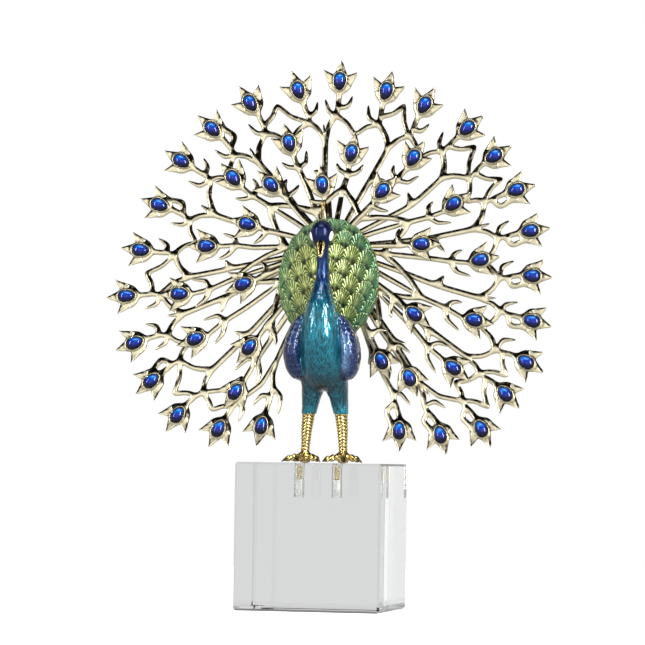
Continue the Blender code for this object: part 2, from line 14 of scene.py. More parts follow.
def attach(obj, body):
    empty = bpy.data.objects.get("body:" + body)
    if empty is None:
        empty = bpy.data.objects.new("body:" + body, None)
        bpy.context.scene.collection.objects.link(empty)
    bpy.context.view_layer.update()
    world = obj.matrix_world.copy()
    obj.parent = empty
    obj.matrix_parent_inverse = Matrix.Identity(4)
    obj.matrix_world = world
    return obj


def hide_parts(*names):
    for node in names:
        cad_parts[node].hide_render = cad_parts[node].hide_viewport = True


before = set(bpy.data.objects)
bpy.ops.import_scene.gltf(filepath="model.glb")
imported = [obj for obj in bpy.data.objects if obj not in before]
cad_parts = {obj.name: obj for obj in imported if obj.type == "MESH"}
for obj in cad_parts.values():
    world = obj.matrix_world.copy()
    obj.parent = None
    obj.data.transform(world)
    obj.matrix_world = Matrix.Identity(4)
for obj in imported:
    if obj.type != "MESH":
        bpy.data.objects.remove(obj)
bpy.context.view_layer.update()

MM = 0.001
BODY = "root"

# Photograph: its side, the row of the horizon and the lens, in pixels, and the camera's stand
FRAME_SIDE = 645
HORIZON_ROW = 463
LENS_PIXELS = 3752
CAMERA_TURN = radians(11.5)
CAMERA_ROLL = radians(0.9)
CAMERA_DISTANCE = 2.559

# Sizes that the construction has too
CUBE_SIDE = 0.100
HOLE_DIAMETER = 0.007
HOLE_DEPTH = 0.0235
PIN_DIAMETER = 0.0037
PIN_DEPTH = 0.0115
STANCE = 0.026
LEG_SETBACK = 0.005
BIRD_HEIGHT = 0.165
TOE_THICKNESS = 0.0046
SHIELD_WIDTH = 0.0700
SHIELD_HEIGHT = 0.0860
SHIELD_RISE = 0.1250
SHIELD_RIM = 0.0022
SHIELD_DOME = 0.0026
SHIELD_SETBACK = 0.0118
RING_RISE = 0.1192
FAN_LEAN = 0.07
FLOWER_HEIGHT = 0.0213
FLOWER_WIDTH = 0.0236
STONE_LENGTH = 0.0120
STONE_WIDTH = 0.0084
STONE_HEIGHT = 0.0040

# Level of the cube's top, and of the bird's soles a hair above it
TOP = CUBE_SIDE
FLOOR = TOP + 0.0003


# Arrays and meshes


def smooth_rows(rows, steps):
    """Catmull-Rom curve through the rows of a table, with the given steps to each interval."""
    rows = np.asarray(rows, float)
    ends = np.vstack([2 * rows[0] - rows[1], rows, 2 * rows[-1] - rows[-2]])
    t = np.linspace(0, 1, steps, endpoint=False)[None, :, None]
    a, b, c, d = (ends[k:k + len(rows) - 1, None] for k in range(4))
    curve = 0.5 * (2 * b + (c - a) * t + (2 * a - 5 * b + 4 * c - d) * t ** 2
                   + (3 * b - a - 3 * c + d) * t ** 3)
    return np.vstack([curve.reshape(-1, rows.shape[1]), rows[-1:]])


def grid_faces(rows, columns, wrap=True):
    """Quads of a grid whose corners are numbered row by row; wrap joins the last column to the first."""
    r, c = np.meshgrid(np.arange(rows - 1), np.arange(columns if wrap else columns - 1), indexing="ij")
    after = (c + 1) % columns
    quads = np.stack([r * columns + c, r * columns + after, (r + 1) * columns + after,
                      (r + 1) * columns + c], axis=-1)
    return quads.reshape(-1, 4)


def shell(grid, wrap=True):
    """A grid of points, rows by columns by three, as a pair of corners and faces."""
    return grid.reshape(-1, 3), grid_faces(grid.shape[0], grid.shape[1], wrap)


def circles(centres, first, second, radius, sides):
    """Circles about a line of centres: cosine along the first direction, sine along the second."""
    t = np.linspace(0, 2 * pi, sides, endpoint=False)
    return (centres[:, None] + first * (radius[:, None] * np.cos(t))[..., None]
            + second * (radius[:, None] * np.sin(t))[..., None])


def capped(grid):
    """A shell of rings, closed by a pole at the middle of the first ring and of the last."""
    ends = [np.repeat(ring.mean(0)[None, None], grid.shape[1], axis=1) for ring in (grid[0], grid[-1])]
    return shell(np.concatenate([ends[0], grid, ends[1]]))


def joined(shells):
    """Several pairs of corners and faces as one pair."""
    counts = np.cumsum([0] + [len(corners) for corners, _ in shells])
    return (np.vstack([corners for corners, _ in shells]),
            np.vstack([faces + start for (_, faces), start in zip(shells, counts)]))


def piece(name, shells, *materials, oxide_and_shade=None):
    """A named object from closed shells: poles and seams are merged and faces point outwards."""
    corners, faces = joined(shells)
    mesh = bpy.data.meshes.new(name)
    mesh.from_pydata(corners, [], faces.tolist())
    if oxide_and_shade is not None:
        weigh(mesh, "oxide_and_shade", oxide_and_shade)
    bm = bmesh.new()
    bm.from_mesh(mesh)
    bmesh.ops.remove_doubles(bm, verts=bm.verts, dist=1e-6)
    bmesh.ops.recalc_face_normals(bm, faces=bm.faces)
    bm.to_mesh(mesh)
    bm.free()
    return show(name, mesh, *materials)


def show(name, mesh, *materials):
    """Put a mesh on show as a named object, shaded smooth."""
    mesh.materials.clear()
    for material in materials:
        mesh.materials.append(material)
    mesh.shade_smooth()
    thing = bpy.data.objects.new(name, mesh)
    bpy.context.scene.collection.objects.link(thing)
    return thing


def apply_modifiers(thing):
    """Replace an object's mesh by the one its modifiers give."""
    bpy.context.view_layer.update()
    graph = bpy.context.evaluated_depsgraph_get()
    shaped = thing.evaluated_get(graph)
    mesh = bpy.data.meshes.new_from_object(shaped, preserve_all_data_layers=True, depsgraph=graph)
    thing.modifiers.clear()
    thing.data = mesh
    return mesh


def points_of(mesh):
    """A mesh's corners, one row of x, y and z for each."""
    corners = np.empty(len(mesh.vertices) * 3)
    mesh.vertices.foreach_get("co", corners)
    return corners.reshape(-1, 3)


def normals_of(mesh):
    """The direction that a mesh faces at each corner."""
    normals = np.empty(len(mesh.vertices) * 3)
    mesh.vertex_normals.foreach_get("vector", normals)
    return normals.reshape(-1, 3)


def move_points(mesh, corners):
    """Put a mesh's corners at new places."""
    mesh.vertices.foreach_set("co", corners.ravel())
    mesh.update()


def ease(mesh, corners, share, rounds):
    """Draw corners half way to the mean of their neighbours, by a share for each, some times over."""
    edges = np.empty(len(mesh.edges) * 2, np.int32)
    mesh.edges.foreach_get("vertices", edges)
    a, b = edges.reshape(-1, 2).T
    count = len(corners)
    neighbours = np.bincount(a, minlength=count) + np.bincount(b, minlength=count)
    for _ in range(rounds):
        total = [np.bincount(a, corners[b, k], count) + np.bincount(b, corners[a, k], count)
                 for k in range(3)]
        mean = np.array(total).T / neighbours[:, None]
        corners = corners + 0.5 * share[:, None] * (mean - corners)
    return corners


def paint(mesh, name, colours):
    """Store a colour for each corner."""
    layer = mesh.attributes.new(name, "FLOAT_COLOR", "POINT")
    full = np.ones((len(mesh.vertices), 4))
    full[:, :3] = colours
    layer.data.foreach_set("color", full.ravel())


def weigh(mesh, name, values):
    """Store a number for each corner."""
    layer = mesh.attributes.get(name) or mesh.attributes.new(name, "FLOAT", "POINT")
    layer.data.foreach_set("value", np.asarray(values, float))


def weights_of(mesh, name):
    """The numbers stored for a mesh's corners."""
    values = np.empty(len(mesh.vertices))
    mesh.attributes[name].data.foreach_get("value", values)
    return values


def ramp(x, low, high):
    """0 below low, 1 above high and a smooth step between; low may be the larger of the two."""
    t = np.clip((x - low) / (high - low), 0, 1)
    return t * t * (3 - 2 * t)


def mix(a, b, share):
    """A value between a, at a share of 0, and b, at a share of 1."""
    return a + (b - a) * share


def linear(code):
    """An sRGB hex colour as three linear numbers."""
    srgb = np.array([int(code[k:k + 2], 16) for k in (1, 3, 5)]) / 255
    return np.where(srgb <= 0.04045, srgb / 12.92, ((srgb + 0.055) / 1.055) ** 2.4)


def blend_colours(a, b, share):
    """Two linear colours mixed by a share given for each corner."""
    return mix(a, b, np.asarray(share)[:, None])


def jitter(cells, seed):
    """A repeatable number from 0 to 1 for each cell number."""
    table = np.random.default_rng(seed).random(997)
    return table[np.asarray(cells, int) % len(table)]


# Scales are numbered row by row, with this step from one row to the next
ROW_STEP = 61


def overlapping_scales(along, across_of_row, rows, bow):
    """Rows of rounded scales, each row lying over the base of the next.

    along is counted in rows, growing towards the tips. across_of_row gives the place across
    in scale widths for a row. A scale's tip edge is at row + 1 - bow times the square of its
    place across from -1 to 1, and a point belongs to the first row whose edge it hasn't
    passed. Returns how far back from the tip edge it lies in rows, its place across from
    -1 to 1, and its scale's number.
    """
    back = np.full(along.shape, 0.0)
    across = np.zeros(along.shape)
    cell = np.full(along.shape, -1)
    for row in range(rows):
        place = across_of_row(row)
        column = np.floor(place)
        side = 2 * (place - column) - 1
        tip = row + 1 - bow * side ** 2
        mine = (cell < 0) & (along <= tip)
        back[mine] = (tip - along)[mine]
        across[mine] = side[mine]
        cell[mine] = (row * ROW_STEP + column)[mine]
    return np.clip(back, 0, 2), across, cell


# Materials


def node(tree, kind, settings=None, **links):
    """Add a node with its settings; an input is linked to a socket or set to a plain value.

    An input is named by its label, or by "in" and its number where labels repeat.
    """
    made = tree.nodes.new(kind)
    for key, value in (settings or {}).items():
        setattr(made, key, value)
    for key, value in links.items():
        socket = made.inputs[int(key[2:]) if key.startswith("in") else key.replace("_", " ")]
        if isinstance(value, bpy.types.NodeSocket):
            tree.links.new(value, socket)
        else:
            socket.default_value = value
    return made


def rgba(code):
    """An sRGB hex colour as the four linear numbers of a colour socket."""
    return (*linear(code), 1.0)


def new_material(name, **sockets):
    """A Principled material with plain values on the shader's sockets."""
    material = bpy.data.materials.new(name)
    material.use_nodes = True
    shader = material.node_tree.nodes["Principled BSDF"]
    for key, value in sockets.items():
        shader.inputs[key.replace("_", " ")].default_value = value
    return material, material.node_tree, shader


def per_mm(size):
    """Noise scale whose blotches measure about the size in millimetres."""
    return 1 / (size * MM)


def uneven(tree, colour, noise, spread, tones):
    """A colour scaled by a noise: the noise's spread, a low and a high, becomes a pair of tones."""
    light = node(tree, "ShaderNodeMapRange", Value=noise.outputs["Fac"], From_Min=spread[0],
                 From_Max=spread[1], To_Min=tones[0], To_Max=tones[1])
    return node(tree, "ShaderNodeVectorMath", {"operation": "SCALE"}, in0=colour,
                in3=light.outputs["Result"]).outputs["Vector"]


def basse_taille_enamel(name, streak, dim, bright):
    """Clear coloured glass fired over engraved metal: deep colour, cut lines brightened as a painted
    highlight of their glint, and a wet gloss.

    streak is the size in millimetres of the engraved lines along X, Y and Z; dim and bright
    are what the colour is multiplied by between and on them. The attribute "gloss" says how
    thick the glass lies: thin between a scale's ribs, and on the neck and head.
    """
    material, tree, shader = new_material(
        name, Metallic=0.55, Roughness=0.30, Coat_Roughness=0.03, Coat_IOR=1.45,
        Specular_IOR_Level=0.25)
    colour = node(tree, "ShaderNodeAttribute", {"attribute_name": "paint"}).outputs["Color"]
    place = node(tree, "ShaderNodeTexCoord").outputs["Object"]
    stretched = node(tree, "ShaderNodeMapping", Vector=place, Scale=[per_mm(size) for size in streak])
    lines = node(tree, "ShaderNodeTexNoise", Vector=stretched.outputs["Vector"], Scale=1.0,
                 Detail=3.0, Roughness=0.6)
    # Painted highlight: the engraved lines multiply the colour up to bright, standing in for their glint
    engraved = uneven(tree, colour, lines, (0.34, 0.68), (dim, bright))
    tree.links.new(engraved, shader.inputs["Base Color"])
    gloss = node(tree, "ShaderNodeAttribute", {"attribute_name": "gloss"}).outputs["Fac"]
    tree.links.new(gloss, shader.inputs["Coat Weight"])
    relief = node(tree, "ShaderNodeBump", Height=lines.outputs["Fac"], Strength=0.35, Distance=0.15 * MM)
    tree.links.new(relief.outputs["Normal"], shader.inputs["Normal"])
    return material


def gold_plate(name, bright, deep, roughness, grain):
    """Polished plate over cast metal, darkened by oxide left in the recesses and by painted shade.

    An attribute says how dark each corner is: oxide in the grooves, and painted shade on the
    upper edges of the tail castings and round their stones. grain is the size in
    millimetres of the casting's faint unevenness.
    """
    material, tree, shader = new_material(name, Metallic=1.0, Roughness=roughness)
    # How dark each corner is: oxide in the hollows and painted shade on the edges
    oxide_and_shade = node(tree, "ShaderNodeAttribute", {"attribute_name": "oxide_and_shade"}).outputs["Fac"]
    place = node(tree, "ShaderNodeTexCoord").outputs["Object"]
    cast = node(tree, "ShaderNodeTexNoise", Vector=place, Scale=per_mm(grain), Detail=2.0, Roughness=0.5)
    worn = node(tree, "ShaderNodeMapRange", Value=cast.outputs["Fac"], From_Min=0.35, From_Max=0.65,
                To_Min=-0.08, To_Max=0.10)
    share = node(tree, "ShaderNodeMath", {"operation": "ADD", "use_clamp": True}, in0=oxide_and_shade,
                 in1=worn.outputs["Result"])
    colour = node(tree, "ShaderNodeMix", {"data_type": "RGBA"}, in0=share.outputs["Value"],
                  in6=rgba(bright), in7=rgba(deep))
    tree.links.new(colour.outputs[2], shader.inputs["Base Color"])
    relief = node(tree, "ShaderNodeBump", Height=cast.outputs["Fac"], Strength=0.12, Distance=0.1 * MM)
    tree.links.new(relief.outputs["Normal"], shader.inputs["Normal"])
    return material


def foiled_glass(name):
    """Blue glass over silver foil, coloured per corner with painted light: azure on the upper half and
    navy below.
    """
    material, tree, shader = new_material(
        name, Metallic=0.15, Roughness=0.06, Specular_IOR_Level=0.45)
    colour = node(tree, "ShaderNodeAttribute", {"attribute_name": "paint"}).outputs["Color"]
    place = node(tree, "ShaderNodeTexCoord").outputs["Object"]
    flaws = node(tree, "ShaderNodeTexNoise", Vector=place, Scale=per_mm(2.2), Detail=1.0)
    flawed = uneven(tree, colour, flaws, (0.3, 0.7), (0.75, 1.25))
    tree.links.new(flawed, shader.inputs["Base Color"])
    return material


def optical_crystal(name, tint):
    """Polished lead-free crystal, or a clear adhesive like it: no grain and sharp refraction."""
    return new_material(name, Base_Color=rgba(tint), Roughness=0.0, IOR=1.52,
                        Transmission_Weight=1.0)[0]


def plain_gloss(name, code, roughness):
    """Fired opaque enamel: one colour under a hard gloss, with faint unevenness."""
    material, tree, shader = new_material(name, Roughness=roughness, Coat_Weight=0.6,
                                          Coat_Roughness=0.04)
    place = node(tree, "ShaderNodeTexCoord").outputs["Object"]
    cast = node(tree, "ShaderNodeTexNoise", Vector=place, Scale=per_mm(1.5), Detail=2.0)
    fired = uneven(tree, linear(code), cast, (0, 1), (0.85, 1.1))
    tree.links.new(fired, shader.inputs["Base Color"])
    return material


# Bird: its forms are shares of its height, as in the construction

# Height, set forward, half width and half depth
TORSO = [
    (0.298, 0.006, 0.026, 0.026), (0.322, 0.010, 0.058, 0.054), (0.365, 0.026, 0.080, 0.075),
    (0.420, 0.043, 0.085, 0.082), (0.490, 0.060, 0.083, 0.083), (0.550, 0.070, 0.079, 0.079),
    (0.600, 0.079, 0.070, 0.068), (0.650, 0.084, 0.058, 0.056), (0.700, 0.074, 0.0425, 0.044),
    (0.760, 0.058, 0.0285, 0.032), (0.820, 0.058, 0.0240, 0.027), (0.862, 0.066, 0.0245, 0.028),
    (0.884, 0.072, 0.0265, 0.033), (0.900, 0.077, 0.0345, 0.042), (0.914, 0.080, 0.0430, 0.049),
    (0.932, 0.081, 0.0495, 0.053), (0.950, 0.081, 0.0505, 0.053), (0.968, 0.081, 0.0440, 0.049),
    (0.984, 0.080, 0.0300, 0.038), (0.994, 0.079, 0.0160, 0.024), (1.000, 0.078, 0.0, 0.0)]
# Height, distance out from the middle, set forward, half width and half depth
WING = [
    (0.335, 0.100, 0.020, 0.0, 0.0), (0.352, 0.104, 0.022, 0.026, 0.040),
    (0.390, 0.113, 0.032, 0.041, 0.058), (0.450, 0.119, 0.045, 0.042, 0.064),
    (0.505, 0.112, 0.050, 0.041, 0.058), (0.550, 0.098, 0.056, 0.036, 0.048),
    (0.592, 0.080, 0.062, 0.026, 0.034), (0.622, 0.068, 0.068, 0.0, 0.0)]
# Height, distance out as a share of half the stance, set forward, half width and half depth
LEG = [
    (0.000, 1.02, 0.000, 0.022, 0.022), (0.045, 1.02, 0.000, 0.019, 0.019),
    (0.070, 1.00, 0.000, 0.0185, 0.019), (0.135, 0.96, -0.002, 0.0230, 0.022),
    (0.198, 0.87, -0.004, 0.0270, 0.028), (0.204, 0.86, -0.004, 0.0305, 0.033),
    (0.232, 0.80, -0.004, 0.0335, 0.038), (0.260, 0.755, -0.003, 0.0380, 0.044),
    (0.290, 0.67, 0.000, 0.0450, 0.052), (0.340, 0.60, 0.010, 0.0500, 0.064),
    (0.420, 0.50, 0.026, 0.0460, 0.066)]
# Height of the gold cuff under the thighs
CUFF = 0.201
# Bearing in degrees from straight ahead, outwards, and length of each toe
TOES = [(62, 0.104), (14, 0.108), (-50, 0.100), (176, 0.064)]
# Way along the toe, height above the cube and half width as shares of the toe's thickness
TOE_SHAPE = [
    (0.0, 1.50, 0.62), (0.34, 1.10, 0.52), (0.62, 0.75, 0.50), (0.82, 0.55, 0.34), (1.0, 0.05, 0.08)]
KNUCKLE_SPACING = 4.2 * MM
HEAD_TURN = radians(6)
# Height, set forward, half width and half depth of the horn beak
BEAK = [
    (0.914, 0.118, 0.000, 0.000), (0.909, 0.122, 0.0120, 0.010), (0.897, 0.130, 0.0165, 0.013),
    (0.880, 0.137, 0.0150, 0.011), (0.860, 0.144, 0.0118, 0.008), (0.845, 0.147, 0.0085, 0.006),
    (0.837, 0.147, 0.000, 0.000)]


def lofted(rows, sides):
    """Level oval rings, each given by x, y, z, half width and half depth, closed by a pole at each end."""
    rows = np.asarray(rows)
    rows[:, 3:] = np.maximum(rows[:, 3:], 0)
    poles = rows[[0, -1]] * (1, 1, 1, 0, 0)
    rows = np.vstack([poles[:1], rows, poles[1:]])
    t = np.linspace(0, 2 * pi, sides, endpoint=False)
    x = rows[:, 0, None] + rows[:, 3, None] * np.cos(t)
    y = rows[:, 1, None] + rows[:, 4, None] * np.sin(t)
    z = np.broadcast_to(rows[:, 2, None], x.shape)
    return shell(np.stack([x, y, z], axis=-1))


def torso():
    """Neck, head and body: oval rings about a curved middle line."""
    h, forward, half_width, half_depth = smooth_rows(TORSO, 5).T
    b = BIRD_HEIGHT
    return lofted(np.stack([0 * h, -forward * b, FLOOR + h * b, half_width * b, half_depth * b], 1), 48)


def wing(side):
    """A folded wing: oval rings beside the body."""
    h, out, forward, half_width, half_depth = smooth_rows(WING, 5).T
    b = BIRD_HEIGHT
    rows = np.stack([side * out * b, -forward * b, FLOOR + h * b, half_width * b, half_depth * b], 1)
    return lofted(rows, 36)


def leg(side):
    """A shank and its thigh: oval rings from the foot up into the body."""
    b = BIRD_HEIGHT
    h, share, forward, half_width, half_depth = np.array(LEG).T
    rows = np.stack([side * share * STANCE / 2, LEG_SETBACK - forward * b, FLOOR + h * b, half_width * b,
                     half_depth * b], 1)
    return lofted(rows, 24)


def toe(side, bearing, length):
    """A tapering toe: upright circles along its bearing, swollen at each knuckle by a cosine."""
    way, lift, half = smooth_rows(TOE_SHAPE, 4).T
    turn = radians(bearing)
    ahead = np.array((side * sin(turn), -cos(turn), 0.0))
    across = np.array((cos(turn), side * sin(turn), 0.0))
    ankle = np.array((side * STANCE / 2, LEG_SETBACK, FLOOR))
    half = np.maximum(half, 0.03)
    knuckles = 1 + 0.20 * np.cos(2 * pi * way * length * BIRD_HEIGHT / KNUCKLE_SPACING)
    radius = half * TOE_THICKNESS * knuckles
    centre = ankle + ahead * (way * length * BIRD_HEIGHT)[:, None]
    centre[:, 2] += (lift + half) * TOE_THICKNESS / 2
    grid = circles(centre, across, np.array((0, 0, 1)), radius, 14)
    grid[..., 2] = np.maximum(grid[..., 2], FLOOR)
    return capped(grid)


def pin(side):
    """The round pin under a foot."""
    x, radius = side * STANCE / 2, PIN_DIAMETER / 2
    rows = [(x, LEG_SETBACK, z, radius, radius) for z in (TOP - PIN_DEPTH, TOP + TOE_THICKNESS)]
    return lofted(rows, 20)


def tail_root():
    """The stub behind the back that carries the plate of feathers: a flat-ended oval bar along Y."""
    sides = 20
    middle = TOP + SHIELD_RISE - 0.24 * SHIELD_HEIGHT
    front, back = -0.07 * BIRD_HEIGHT, 0.0052
    t = np.linspace(0, 2 * pi, sides, endpoint=False)
    x = 0.034 * BIRD_HEIGHT * np.cos(t)
    z = 0.10 * SHIELD_HEIGHT * np.sin(t)
    rows = [np.stack([x * s, np.full(sides, y), middle + z * s], 1)
            for y, s in ((front, 0), (front, 1), (back, 1), (back, 0))]
    return shell(np.array(rows))


def nearness(points, table):
    """How far out points lie in the oval rings of a table, 1 on their surface, and their angle."""
    share = (points[:, 2] - FLOOR) / BIRD_HEIGHT
    table = np.asarray(table)
    columns = [np.interp(share, table[:, 0], table[:, k]) * BIRD_HEIGHT for k in range(1, table.shape[1])]
    if len(columns) == 3:
        columns = [0 * columns[0]] + columns
    across, forward, half_width, half_depth = columns
    x = (np.abs(points[:, 0]) - across) / np.maximum(half_width, 1e-4)
    y = (-points[:, 1] - forward) / np.maximum(half_depth, 1e-4)
    return np.hypot(x, y), np.arctan2(x, y)


# Length of a row of feathers or scutes, and the depth of its engraving
NECK_ROW, NECK_CUT = 7.5 * MM, 0.24 * MM
WING_SCALE_ROW, WING_QUILL_ROW, WING_CUT = 3.6 * MM, 13 * MM, 0.34 * MM
SCUTE_ROW, SCUTE_CUT = 2.3 * MM, 0.55 * MM


def feather_relief(points):
    """Height of the engraving over the bird in metres, and what its colours need.

    The neck and breast carry long pointed feathers in staggered rows, the wings rounded
    scales above and long quills below, and the shanks rows of scutes. Each feather falls from
    its tip edge towards its root and its sides. Also returns the height as a share of the
    bird's, how much a point is on the wing, on a scute and on a feather's edge, and the
    feather's number.
    """
    share = (points[:, 2] - FLOOR) / BIRD_HEIGHT
    wing_out, wing_angle = nearness(points, WING)
    torso_out, torso_angle = nearness(points, TORSO)
    on_wing = ramp(torso_out - wing_out, -0.05, 0.22) * (share > 0.33) * (share < 0.645)

    def plumage(row_height, columns, angle, bow, top):
        """Staggered rows down from a height, with so many feathers round the form."""
        along = (top - share) * BIRD_HEIGHT / row_height
        rows = int(top * BIRD_HEIGHT / row_height) + 2
        return overlapping_scales(
            along, lambda row: angle / (2 * pi) * columns + 0.5 * (row % 2) + 40, rows, bow)

    back, across, cell = plumage(NECK_ROW, 17, torso_angle, 0.75, 1.0)
    quill = np.exp(-(across / 0.16) ** 2)
    breast = (1 - 0.75 * back) * (1 - 0.35 * across ** 2) + 0.25 * quill
    small, small_across, small_cell = plumage(WING_SCALE_ROW, 11, wing_angle, 0.55, 0.66)
    scales = 1 - small - 0.2 * small_across ** 2 + 0.25 * np.exp(-(small_across / 0.2) ** 2)
    long_back, long_across, _ = plumage(WING_QUILL_ROW, 9, wing_angle, 0.35, 0.66)
    quills = 1 - 0.7 * long_back - 0.5 * long_across ** 2
    wing_relief = mix(quills, scales, ramp(share, 0.44, 0.48))

    out, ahead = np.abs(points[:, 0]) - 0.96 * STANCE / 2, LEG_SETBACK - points[:, 1]
    leg_angle = np.arctan2(out, ahead)
    way = share * BIRD_HEIGHT + 0.8 * np.hypot(out, ahead)
    slant = 0.9 * np.abs(leg_angle) + pi * (leg_angle > 0)
    scute = 0.5 + 0.5 * np.cos(2 * pi * way / SCUTE_ROW + slant)
    on_shank = ramp(share, CUFF + 0.004, CUFF)
    on_head = ramp(share, 0.865, 0.885)
    height = NECK_CUT * breast * (1 - on_wing)
    height = height * (1 - on_head) + WING_CUT * wing_relief * on_wing
    height = height * (1 - on_shank) + SCUTE_CUT * (scute - 0.6) * on_shank * ramp(share, 0.0, 0.03)
    edge = np.where(on_wing > 0.5, np.exp(-small / 0.12), np.exp(-back / 0.05))
    return height, share, on_wing, scute, edge, np.where(on_wing > 0.5, small_cell + 500, cell)


def bird_colours(share, on_wing, edge, cell, points):
    """Royal blue head, blue neck running to teal on the breast, violet-blue wings and teal thighs."""
    royal, navy = linear("#081C44"), linear("#070F32")
    teal, deep_teal, cyan = linear("#094E5C"), linear("#05232E"), linear("#2C9FB4")
    violet, pale_blue = linear("#0F1C46"), linear("#7FA8D0")
    # From the thighs up to the head, each band blends into the next
    neck = blend_colours(teal, royal, ramp(share, 0.60, 0.76))
    neck = blend_colours(deep_teal, neck, ramp(share, 0.30, 0.43))
    thigh = blend_colours(teal, deep_teal, 0.7 * ramp(share, 0.21, 0.30))
    colour = blend_colours(thigh, neck, ramp(share, 0.31, 0.36))
    colour = blend_colours(colour, navy, 0.80 * ramp(share, 0.86, 0.91))
    # No two feathers are fired quite alike
    colour = blend_colours(colour, blend_colours(violet, royal, jitter(cell, 3)), on_wing)
    colour = colour * (0.75 + 0.55 * jitter(cell, 5))[:, None]
    # Painted shade darkens the fork between the thighs
    fork_shade = np.exp(-(points[:, 0] / (6 * MM)) ** 2 - ((share - 0.308) / 0.027) ** 2)
    colour = colour * (1 - 0.9 * fork_shade)[:, None]
    # Painted sheen low on the front of the wing on the bird's left, and painted shade dimming the other
    # wing
    _, wing_angle = nearness(points, WING)
    painted_sheen = np.exp(-((wing_angle + 0.35) / 0.5) ** 2)
    painted_sheen *= ramp(share, 0.36, 0.40) * ramp(share, 0.56, 0.50)
    lit_side = ramp(points[:, 0], -2 * MM, 2 * MM)
    colour = blend_colours(colour, pale_blue, 0.42 * on_wing * painted_sheen * lit_side)
    colour = colour * (1 - 0.25 * on_wing * (1 - lit_side))[:, None]
    # Pale feather edges: cyan on the neck and breast, pale blue on the wings, where it is partly a painted
    # highlight
    rim = blend_colours(cyan, pale_blue, on_wing)
    return blend_colours(colour, rim, (0.35 - 0.20 * on_wing) * edge * ramp(share, 0.88, 0.84))


# Grain of the remesh, fine enough for the thinnest toe
SKIN_VOXEL = 0.52 * MM
# Distance from the middle of a foot at which the toes' dark claws begin
CLAW_REACH = 13 * MM


def peacock(enamel, gold):
    """The bird as one skin: lofts fused by a fine remesh, then engraved and painted."""
    lofts = [torso(), tail_root()]
    for side in (-1, 1):
        lofts += [wing(side), leg(side), pin(side)]
        lofts += [toe(side, bearing, length) for bearing, length in TOES]
    bird = piece("peacock_skin", lofts, enamel, gold)
    fuse = bird.modifiers.new("fuse", "REMESH")
    fuse.mode = "VOXEL"
    fuse.voxel_size = SKIN_VOXEL
    soften = bird.modifiers.new("soften", "SMOOTH")
    soften.factor = 0.5
    soften.iterations = 6
    mesh = apply_modifiers(bird)

    # The hips are eased into the belly before the feathers are cut
    corners = points_of(mesh)
    share = (corners[:, 2] - FLOOR) / BIRD_HEIGHT
    corners = ease(mesh, corners, ramp(share, 0.23, 0.28) * ramp(share, 0.44, 0.38), 60)
    move_points(mesh, corners)
    height, share, on_wing, scute, edge, cell = feather_relief(corners)
    above = ramp(corners[:, 2], TOP - 1 * MM, TOP + 0.5 * MM)
    corners += normals_of(mesh) * (height * above)[:, None]
    standing = (corners[:, 2] < FLOOR) & (above > 0.6)
    corners[standing, 2] = FLOOR
    move_points(mesh, corners)

    paint(mesh, "paint", bird_colours(share, on_wing, edge, cell, corners))
    weigh(mesh, "gloss", 1 - 0.75 * ramp(share, 0.68, 0.82))
    along_toe = np.hypot(np.abs(corners[:, 0]) - STANCE / 2, corners[:, 1] - LEG_SETBACK)
    claws = 0.9 * ramp(along_toe, CLAW_REACH, CLAW_REACH + 1 * MM)
    recess = np.maximum(0.85 * ramp(scute, 0.45, 0.1), claws)
    weigh(mesh, "oxide_and_shade", recess * (corners[:, 2] > TOP))

    # A face goes to the gold by its first corner
    first = np.empty(len(mesh.polygons), np.int32)
    mesh.polygons.foreach_get("loop_start", first)
    loops = np.empty(len(mesh.loops), np.int32)
    mesh.loops.foreach_get("vertex_index", loops)
    in_gold = share[loops[first]] < CUFF
    mesh.polygons.foreach_set("material_index", in_gold.astype(np.int32))
    mesh.shade_smooth()
    return bird


def face_point(height, forward, out=0.0):
    """A place given by its height, how far forward and how far out, as shares of the bird's height."""
    return np.array((out * BIRD_HEIGHT, -forward * BIRD_HEIGHT, FLOOR + height * BIRD_HEIGHT))


def beak(gold):
    """A horn-shaped beak in gold, oval rings along a curve, with a dark groove down its front."""
    h, forward, half_width, half_depth = smooth_rows(BEAK, 12).T
    b = BIRD_HEIGHT
    x = (forward - TORSO[-1][1]) * b * sin(HEAD_TURN)
    rows = np.stack([x, -forward * b, FLOOR + h * b, half_width * b, half_depth * b], 1)
    horn = piece("beak", [lofted(rows, 72)], gold)
    corners = points_of(horn.data)
    share = (corners[:, 2] - FLOOR) / b
    middle = np.interp(share, h[::-1], x[::-1])
    width = np.interp(share, h[::-1], half_width[::-1]) * b
    inside = ramp(np.abs(corners[:, 0] - middle) / np.maximum(width, 1e-5), 0.68, 0.50)
    front = corners[:, 1] < -np.interp(share, h[::-1], forward[::-1]) * b
    groove = inside * front * ramp(share, 0.846, 0.858)
    groove_depth = 0.5 * MM
    corners[:, 1] += groove_depth * groove
    move_points(horn.data, corners)
    weigh(horn.data, "oxide_and_shade", np.clip(1.2 * groove, 0, 1))
    return horn


def ball(centre, radii, turn=0.0, rings=12, sides=20):
    """An ellipsoid: latitude by longitude, leaned about the Y axis."""
    a = np.linspace(0, pi, rings)[:, None]
    t = np.linspace(0, 2 * pi, sides, endpoint=False)[None, :]
    x = radii[0] * np.sin(a) * np.cos(t)
    y = radii[1] * np.sin(a) * np.sin(t)
    z = radii[2] * np.cos(a) + 0 * t
    x, z = x * cos(turn) + z * sin(turn), z * cos(turn) - x * sin(turn)
    return shell(np.stack([x, y, z], axis=-1) + np.asarray(centre))


def eyes(white, black):
    """Bare white skin below each eye, and the eye itself as a glossy bead."""
    patch = np.array((1.5, 2.7, 3.5)) * MM
    bead = np.array((0.9, 1.25, 1.1)) * MM
    patches = [ball(face_point(0.930, 0.101, 0.002 + side * 0.0400), patch, side * 0.20)
               for side in (-1, 1)]
    beads = [ball(face_point(0.945, 0.100, side * 0.0525), bead) for side in (-1, 1)]
    return piece("cheeks", patches, white), piece("eyes", beads, black)


